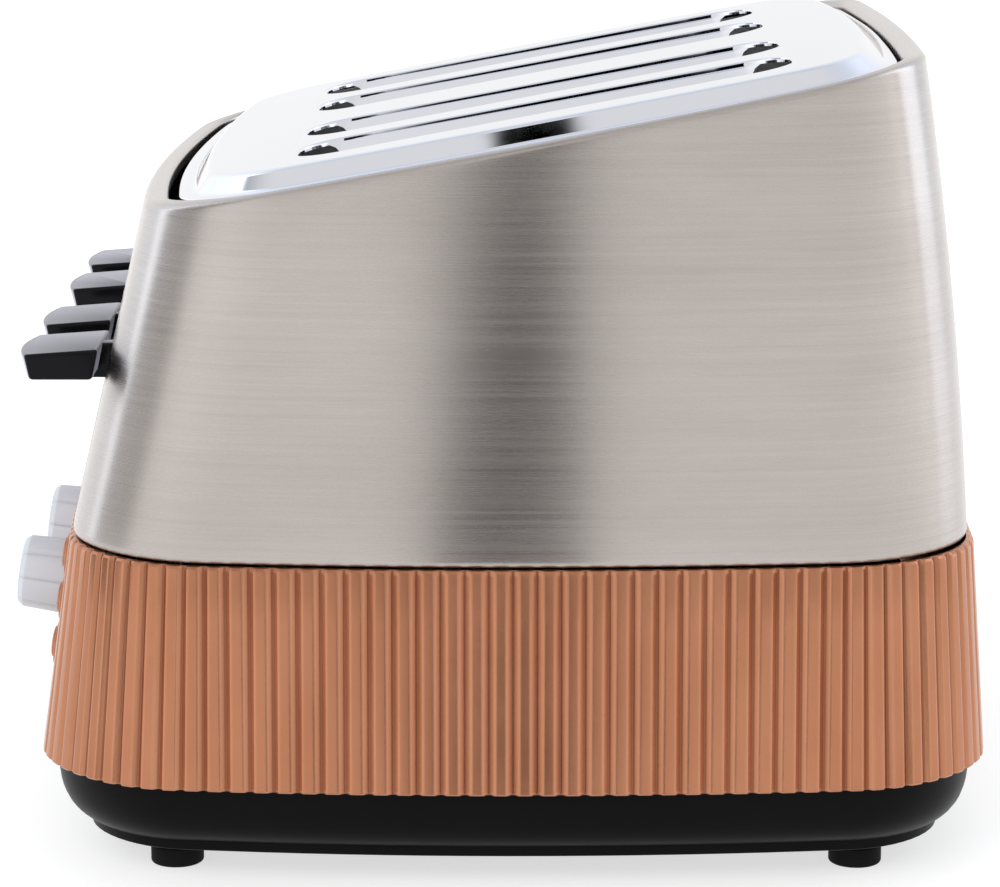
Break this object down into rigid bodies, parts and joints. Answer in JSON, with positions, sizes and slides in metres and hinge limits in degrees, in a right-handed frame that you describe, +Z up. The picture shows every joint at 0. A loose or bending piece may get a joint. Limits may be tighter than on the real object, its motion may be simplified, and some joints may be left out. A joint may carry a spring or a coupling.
{
  "type": "pop up toaster",
  "caption": "Wide-bodied pop-up toaster with long bread slots in a sloping chrome top, a brushed steel shell, a ribbed copper band, front levers and dials, and rear crumb trays.",
  "frame": {"origin": "centre of the bounding box on the surface that the feet stand on", "axes": "+Z up, +X across the slots, +Y from the levers towards the back"},
  "size_m": [0.2834, 0.2752, 0.22],
  "materials": {
    "brushed_steel": "fine horizontal brushing, satin",
    "chrome": "polished",
    "copper_paint": "satin metallic copper lacquer",
    "black_plastic": "fine moulded texture",
    "gloss_black": "gloss",
    "silver_plastic": "satin silver paint",
    "rubber": "matte",
    "plated_steel": "dull zinc plating",
    "wire_steel": "bright drawn wire",
    "mica": "layered, matte",
    "circuit_board": "green solder mask",
    "magnet_steel": "dark lamination"
  },
  "bodies": {
    "housing": {"outer_shell": "brushed_steel", "top_plate": "chrome", "ribbed_band": "copper_paint", "base_tray": "black_plastic", "foot_front_left": "rubber", "foot_front_right": "rubber", "foot_rear_left": "rubber", "foot_rear_right": "rubber", "cord_gland": "rubber", "front_end_plate": "plated_steel", "rear_end_plate": "plated_steel", "heat_shield_left": "plated_steel", "heat_shield_right": "plated_steel", "centre_divider": "plated_steel", "heater_1": "mica", "heater_2": "mica", "heater_3": "mica", "heater_4": "mica", "heater_5": "mica", "heater_6": "mica", "guide_rod_1": "wire_steel", "guide_rod_2": "wire_steel", "guide_rod_3": "wire_steel", "guide_rod_4": "wire_steel", "return_spring_1": "wire_steel", "return_spring_2": "wire_steel", "return_spring_3": "wire_steel", "return_spring_4": "wire_steel", "potentiometer_left": "plated_steel", "potentiometer_right": "plated_steel", "control_board_left": "circuit_board", "control_board_right": "circuit_board", "hold_magnet_left": "magnet_steel", "hold_magnet_right": "magnet_steel"},
    "carriage_1_body": {"carriage_1": "plated_steel", "lever_handle_1": "gloss_black"},
    "carriage_2_body": {"carriage_2": "plated_steel", "lever_handle_2": "gloss_black"},
    "carriage_3_body": {"carriage_3": "plated_steel", "lever_handle_3": "gloss_black"},
    "carriage_4_body": {"carriage_4": "plated_steel", "lever_handle_4": "gloss_black"},
    "guard_1_left_body": {"guard_1_left": "wire_steel"},
    "guard_1_right_body": {"guard_1_right": "wire_steel"},
    "guard_2_left_body": {"guard_2_left": "wire_steel"},
    "guard_2_right_body": {"guard_2_right": "wire_steel"},
    "guard_3_left_body": {"guard_3_left": "wire_steel"},
    "guard_3_right_body": {"guard_3_right": "wire_steel"},
    "guard_4_left_body": {"guard_4_left": "wire_steel"},
    "guard_4_right_body": {"guard_4_right": "wire_steel"},
    "browning_knob_left_body": {"browning_knob_left": "silver_plastic"},
    "browning_knob_right_body": {"browning_knob_right": "silver_plastic"},
    "cancel_button_left_body": {"cancel_button_left": "silver_plastic"},
    "reheat_button_left_body": {"reheat_button_left": "silver_plastic"},
    "defrost_button_left_body": {"defrost_button_left": "silver_plastic"},
    "cancel_button_right_body": {"cancel_button_right": "silver_plastic"},
    "reheat_button_right_body": {"reheat_button_right": "silver_plastic"},
    "defrost_button_right_body": {"defrost_button_right": "silver_plastic"},
    "crumb_tray_left_body": {"crumb_tray_left": "plated_steel"},
    "crumb_tray_right_body": {"crumb_tray_right": "plated_steel"}
  },
  "joints": [
    {"name": "lever_slide_1", "type": "slide", "parent": "housing", "child": "carriage_1_body", "axis": [0, 0.23, 0.9732], "range_m": [-0.038, 0], "stiffness_N_per_m": 60, "springref_m": 0.03, "deforming": ["return_spring_1"]},
    {"name": "lever_slide_2", "type": "slide", "parent": "housing", "child": "carriage_2_body", "axis": [0, 0.23, 0.9732], "range_m": [-0.038, 0], "stiffness_N_per_m": 60, "springref_m": 0.03, "deforming": ["return_spring_2"]},
    {"name": "lever_slide_3", "type": "slide", "parent": "housing", "child": "carriage_3_body", "axis": [0, 0.23, 0.9732], "range_m": [-0.038, 0], "stiffness_N_per_m": 60, "springref_m": 0.03, "deforming": ["return_spring_3"]},
    {"name": "lever_slide_4", "type": "slide", "parent": "housing", "child": "carriage_4_body", "axis": [0, 0.23, 0.9732], "range_m": [-0.038, 0], "stiffness_N_per_m": 60, "springref_m": 0.03, "deforming": ["return_spring_4"]},
    {"name": "guard_lean_1_left", "type": "hinge", "parent": "housing", "child": "guard_1_left_body", "pos_m": [-0.0911, 0.01362, 0.07], "axis": [0, 1, 0], "range_deg": [0, 3]},
    {"name": "guard_lean_1_right", "type": "hinge", "parent": "housing", "child": "guard_1_right_body", "pos_m": [-0.0661, 0.01362, 0.07], "axis": [0, 1, 0], "range_deg": [-3, 0]},
    {"name": "guard_lean_2_left", "type": "hinge", "parent": "housing", "child": "guard_2_left_body", "pos_m": [-0.0439, 0.01362, 0.07], "axis": [0, 1, 0], "range_deg": [0, 3]},
    {"name": "guard_lean_2_right", "type": "hinge", "parent": "housing", "child": "guard_2_right_body", "pos_m": [-0.0189, 0.01362, 0.07], "axis": [0, 1, 0], "range_deg": [-3, 0]},
    {"name": "guard_lean_3_left", "type": "hinge", "parent": "housing", "child": "guard_3_left_body", "pos_m": [0.0189, 0.01362, 0.07], "axis": [0, 1, 0], "range_deg": [0, 3]},
    {"name": "guard_lean_3_right", "type": "hinge", "parent": "housing", "child": "guard_3_right_body", "pos_m": [0.0439, 0.01362, 0.07], "axis": [0, 1, 0], "range_deg": [-3, 0]},
    {"name": "guard_lean_4_left", "type": "hinge", "parent": "housing", "child": "guard_4_left_body", "pos_m": [0.0661, 0.01362, 0.07], "axis": [0, 1, 0], "range_deg": [0, 3]},
    {"name": "guard_lean_4_right", "type": "hinge", "parent": "housing", "child": "guard_4_right_body", "pos_m": [0.0911, 0.01362, 0.07], "axis": [0, 1, 0], "range_deg": [-3, 0]},
    {"name": "knob_turn_left", "type": "hinge", "parent": "housing", "child": "browning_knob_left_body", "pos_m": [-0.034, -0.12234, 0.061], "axis": [0, -0.9906, 0.1367], "range_deg": [-135, 135]},
    {"name": "knob_turn_right", "type": "hinge", "parent": "housing", "child": "browning_knob_right_body", "pos_m": [0.034, -0.12234, 0.061], "axis": [0, -0.9906, 0.1367], "range_deg": [-135, 135]},
    {"name": "cancel_press_left", "type": "slide", "parent": "housing", "child": "cancel_button_left_body", "axis": [0, 0.9906, -0.1367], "range_m": [0, 0.0015], "stiffness_N_per_m": 300, "springref_m": -0.001},
    {"name": "reheat_press_left", "type": "slide", "parent": "housing", "child": "reheat_button_left_body", "axis": [0, 0.9906, -0.1367], "range_m": [0, 0.0015], "stiffness_N_per_m": 300, "springref_m": -0.001},
    {"name": "defrost_press_left", "type": "slide", "parent": "housing", "child": "defrost_button_left_body", "axis": [0, 0.9906, -0.1367], "range_m": [0, 0.0015], "stiffness_N_per_m": 300, "springref_m": -0.001},
    {"name": "cancel_press_right", "type": "slide", "parent": "housing", "child": "cancel_button_right_body", "axis": [0, 0.9906, -0.1367], "range_m": [0, 0.0015], "stiffness_N_per_m": 300, "springref_m": -0.001},
    {"name": "reheat_press_right", "type": "slide", "parent": "housing", "child": "reheat_button_right_body", "axis": [0, 0.9906, -0.1367], "range_m": [0, 0.0015], "stiffness_N_per_m": 300, "springref_m": -0.001},
    {"name": "defrost_press_right", "type": "slide", "parent": "housing", "child": "defrost_button_right_body", "axis": [0, 0.9906, -0.1367], "range_m": [0, 0.0015], "stiffness_N_per_m": 300, "springref_m": -0.001},
    {"name": "tray_slide_left", "type": "slide", "parent": "housing", "child": "crumb_tray_left_body", "axis": [0, 1, 0], "range_m": [0, 0.17]},
    {"name": "tray_slide_right", "type": "slide", "parent": "housing", "child": "crumb_tray_right_body", "axis": [0, 1, 0], "range_m": [0, 0.17]}
  ],
  "couplings": [
    {"joint": "guard_lean_1_left", "follows": "lever_slide_1", "rad_per_m": -1.377},
    {"joint": "guard_lean_1_right", "follows": "lever_slide_1", "rad_per_m": 1.377},
    {"joint": "guard_lean_2_left", "follows": "lever_slide_2", "rad_per_m": -1.377},
    {"joint": "guard_lean_2_right", "follows": "lever_slide_2", "rad_per_m": 1.377},
    {"joint": "guard_lean_3_left", "follows": "lever_slide_3", "rad_per_m": -1.377},
    {"joint": "guard_lean_3_right", "follows": "lever_slide_3", "rad_per_m": 1.377},
    {"joint": "guard_lean_4_left", "follows": "lever_slide_4", "rad_per_m": -1.377},
    {"joint": "guard_lean_4_right", "follows": "lever_slide_4", "rad_per_m": 1.377}
  ]
}
